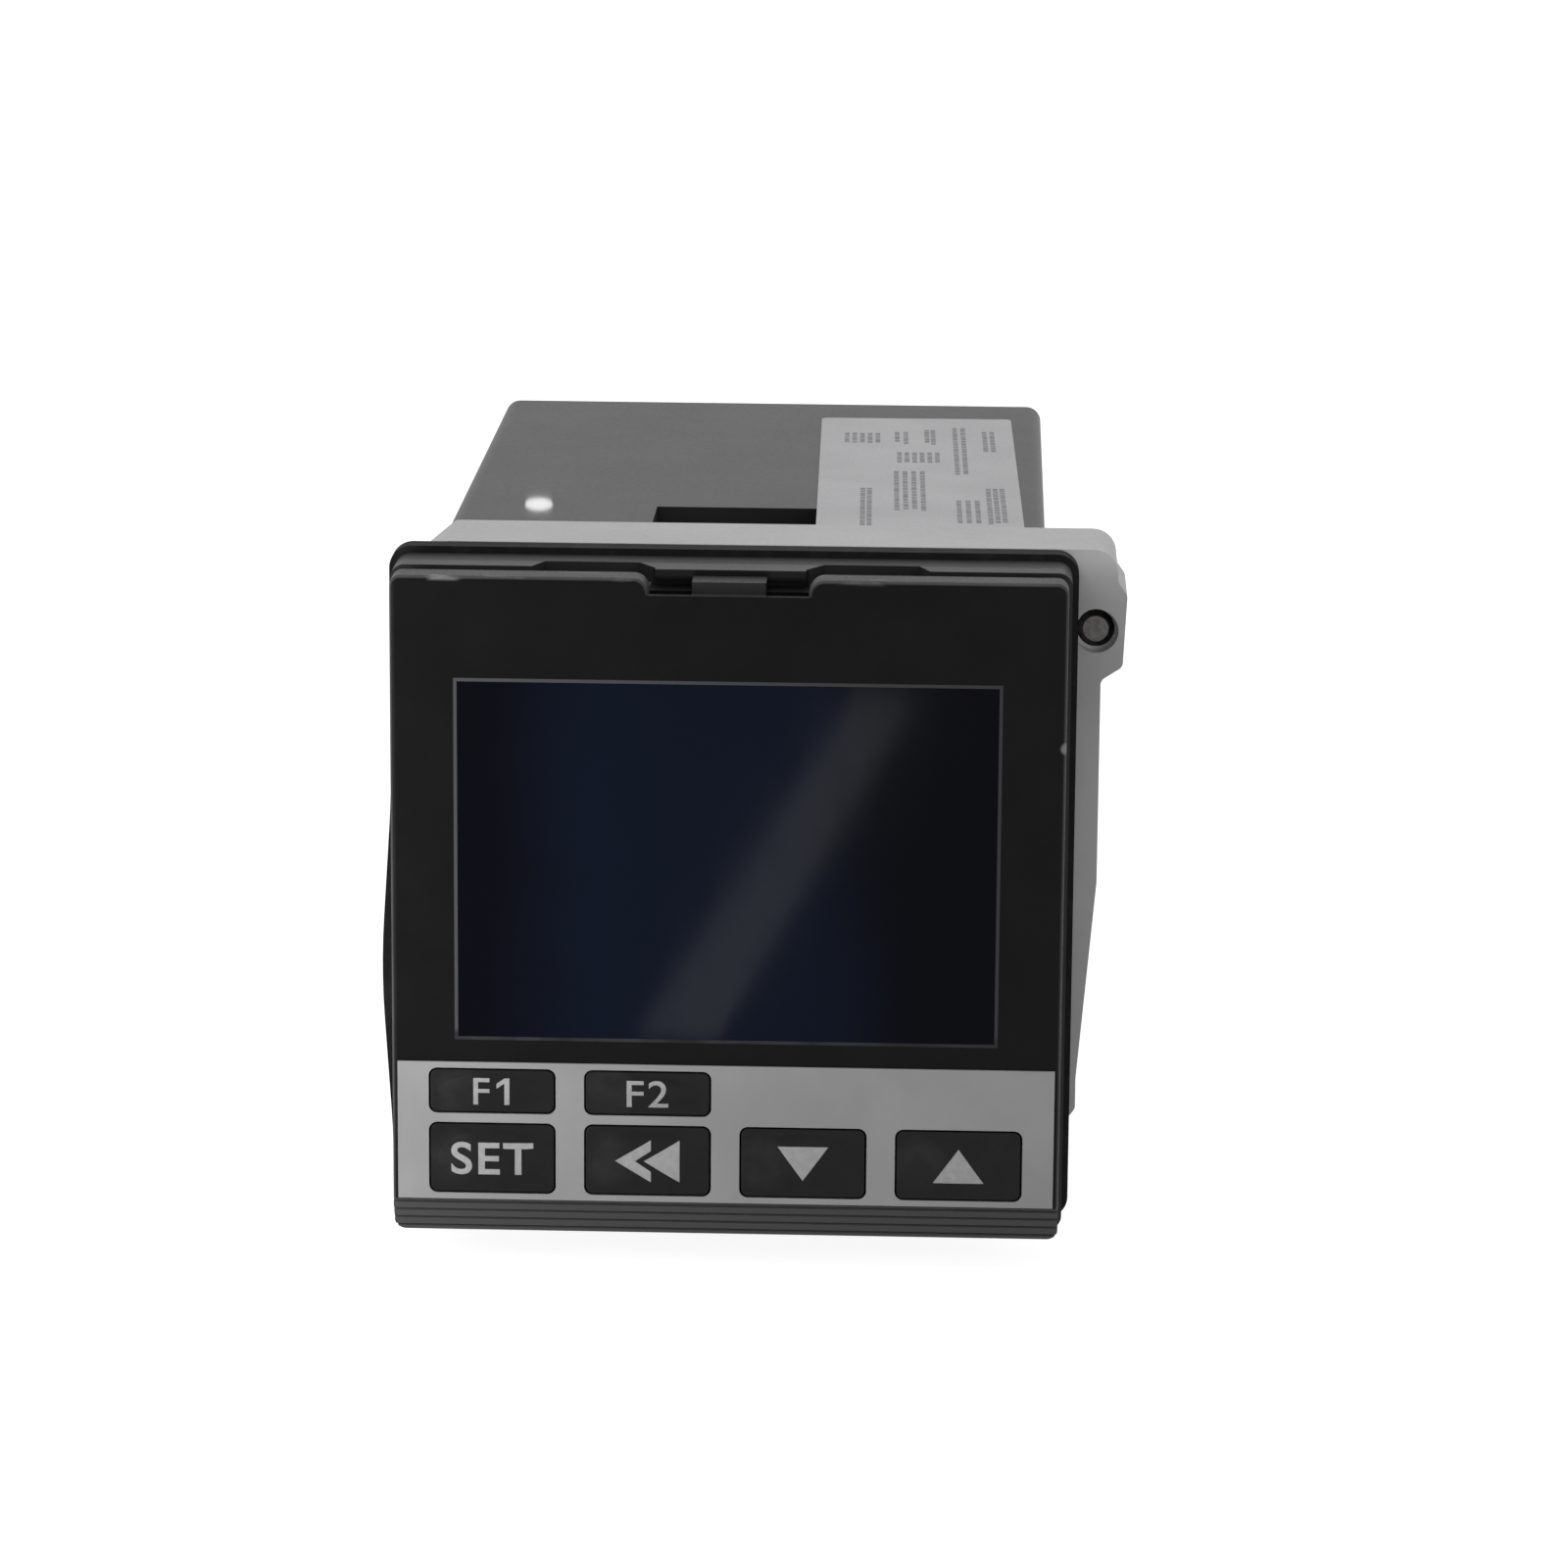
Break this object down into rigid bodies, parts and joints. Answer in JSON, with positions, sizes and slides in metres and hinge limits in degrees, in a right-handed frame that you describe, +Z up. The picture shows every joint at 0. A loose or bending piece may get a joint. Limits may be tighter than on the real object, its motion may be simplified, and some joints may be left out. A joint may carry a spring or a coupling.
{
  "type": "temperature controller",
  "caption": "Square panel-mounted temperature controller with a dark display, press keys, a draw-out chassis, a sliding clamp bracket with jack screws, and rear screw terminals.",
  "frame": {"origin": "centre of the case in the plane of the panel's front face, where the gasket seals", "axes": "+X right seen from the front, +Y back through the panel towards the terminals, +Z up"},
  "size_m": [0.0532, 0.0853, 0.0516],
  "materials": {
    "case_plastic": "fine moulded grain",
    "gasket_rubber": "dull",
    "label_film": "satin silver-grey film",
    "terminal_plastic": "matte",
    "contact_metal": "tinned",
    "clamp_steel": "zinc plated",
    "screw_steel": "zinc plated",
    "bezel_plastic": "fine moulded grain",
    "window_tint": "clear dark tint",
    "fascia_film": "satin printed film",
    "key_plastic": "satin",
    "plunger_plastic": "plain",
    "display_glass": "clear",
    "light_guide": "milky",
    "board_laminate": "green solder resist",
    "component_black": "moulded",
    "ferrite": "ground",
    "coil_tape": "taped",
    "relay_plastic": "moulded",
    "capacitor_can": "sleeved can",
    "bracket_plastic": "fine moulded grain"
  },
  "bodies": {
    "case": {"case_sleeve": "case_plastic", "panel_gasket": "gasket_rubber", "rating_label": "label_film", "terminal_block": "terminal_plastic", "terminal_contacts": "contact_metal", "terminal_clamps": "clamp_steel", "terminal_screws": "screw_steel"},
    "chassis": {"front_bezel": "bezel_plastic", "display_window": "window_tint", "key_fascia": "fascia_film", "lcd_glass": "display_glass", "lcd_backlight": "light_guide", "display_board": "board_laminate", "key_switches": "component_black", "power_board": "board_laminate", "output_board": "board_laminate", "signal_board": "board_laminate", "board_headers": "component_black", "terminal_sockets": "component_black", "transformer_core": "ferrite", "transformer_coil": "coil_tape", "output_relays": "relay_plastic", "filter_capacitors": "capacitor_can", "control_chips": "component_black"},
    "key_f1": {"key_f1": "key_plastic", "plunger_f1": "plunger_plastic"},
    "key_f2": {"key_f2": "key_plastic", "plunger_f2": "plunger_plastic"},
    "key_set": {"key_set": "key_plastic", "plunger_set": "plunger_plastic"},
    "key_back": {"key_back": "key_plastic", "plunger_back": "plunger_plastic"},
    "key_down": {"key_down": "key_plastic", "plunger_down": "plunger_plastic"},
    "key_up": {"key_up": "key_plastic", "plunger_up": "plunger_plastic"},
    "bracket": {"clamp_bracket": "bracket_plastic"},
    "upper_screw": {"jack_screw_upper": "screw_steel"},
    "lower_screw": {"jack_screw_lower": "screw_steel"}
  },
  "joints": [
    {"name": "chassis_draw", "type": "slide", "parent": "case", "child": "chassis", "axis": [0, -1, 0], "range_m": [0, 0.07]},
    {"name": "press_f1", "type": "slide", "parent": "chassis", "child": "key_f1", "axis": [0, 1, 0], "range_m": [0, 0.0004], "stiffness_N_per_m": 4000},
    {"name": "press_f2", "type": "slide", "parent": "chassis", "child": "key_f2", "axis": [0, 1, 0], "range_m": [0, 0.0004], "stiffness_N_per_m": 4000},
    {"name": "press_set", "type": "slide", "parent": "chassis", "child": "key_set", "axis": [0, 1, 0], "range_m": [0, 0.0004], "stiffness_N_per_m": 4000},
    {"name": "press_back", "type": "slide", "parent": "chassis", "child": "key_back", "axis": [0, 1, 0], "range_m": [0, 0.0004], "stiffness_N_per_m": 4000},
    {"name": "press_down", "type": "slide", "parent": "chassis", "child": "key_down", "axis": [0, 1, 0], "range_m": [0, 0.0004], "stiffness_N_per_m": 4000},
    {"name": "press_up", "type": "slide", "parent": "chassis", "child": "key_up", "axis": [0, 1, 0], "range_m": [0, 0.0004], "stiffness_N_per_m": 4000},
    {"name": "bracket_slide", "type": "slide", "parent": "case", "child": "bracket", "axis": [0, 1, 0], "range_m": [0, 0.075]},
    {"name": "upper_screw_drive", "type": "slide", "parent": "bracket", "child": "upper_screw", "axis": [0, 1, 0], "range_m": [-0.0008, 0.006]},
    {"name": "lower_screw_drive", "type": "slide", "parent": "bracket", "child": "lower_screw", "axis": [0, 1, 0], "range_m": [-0.0008, 0.006]}
  ]
}
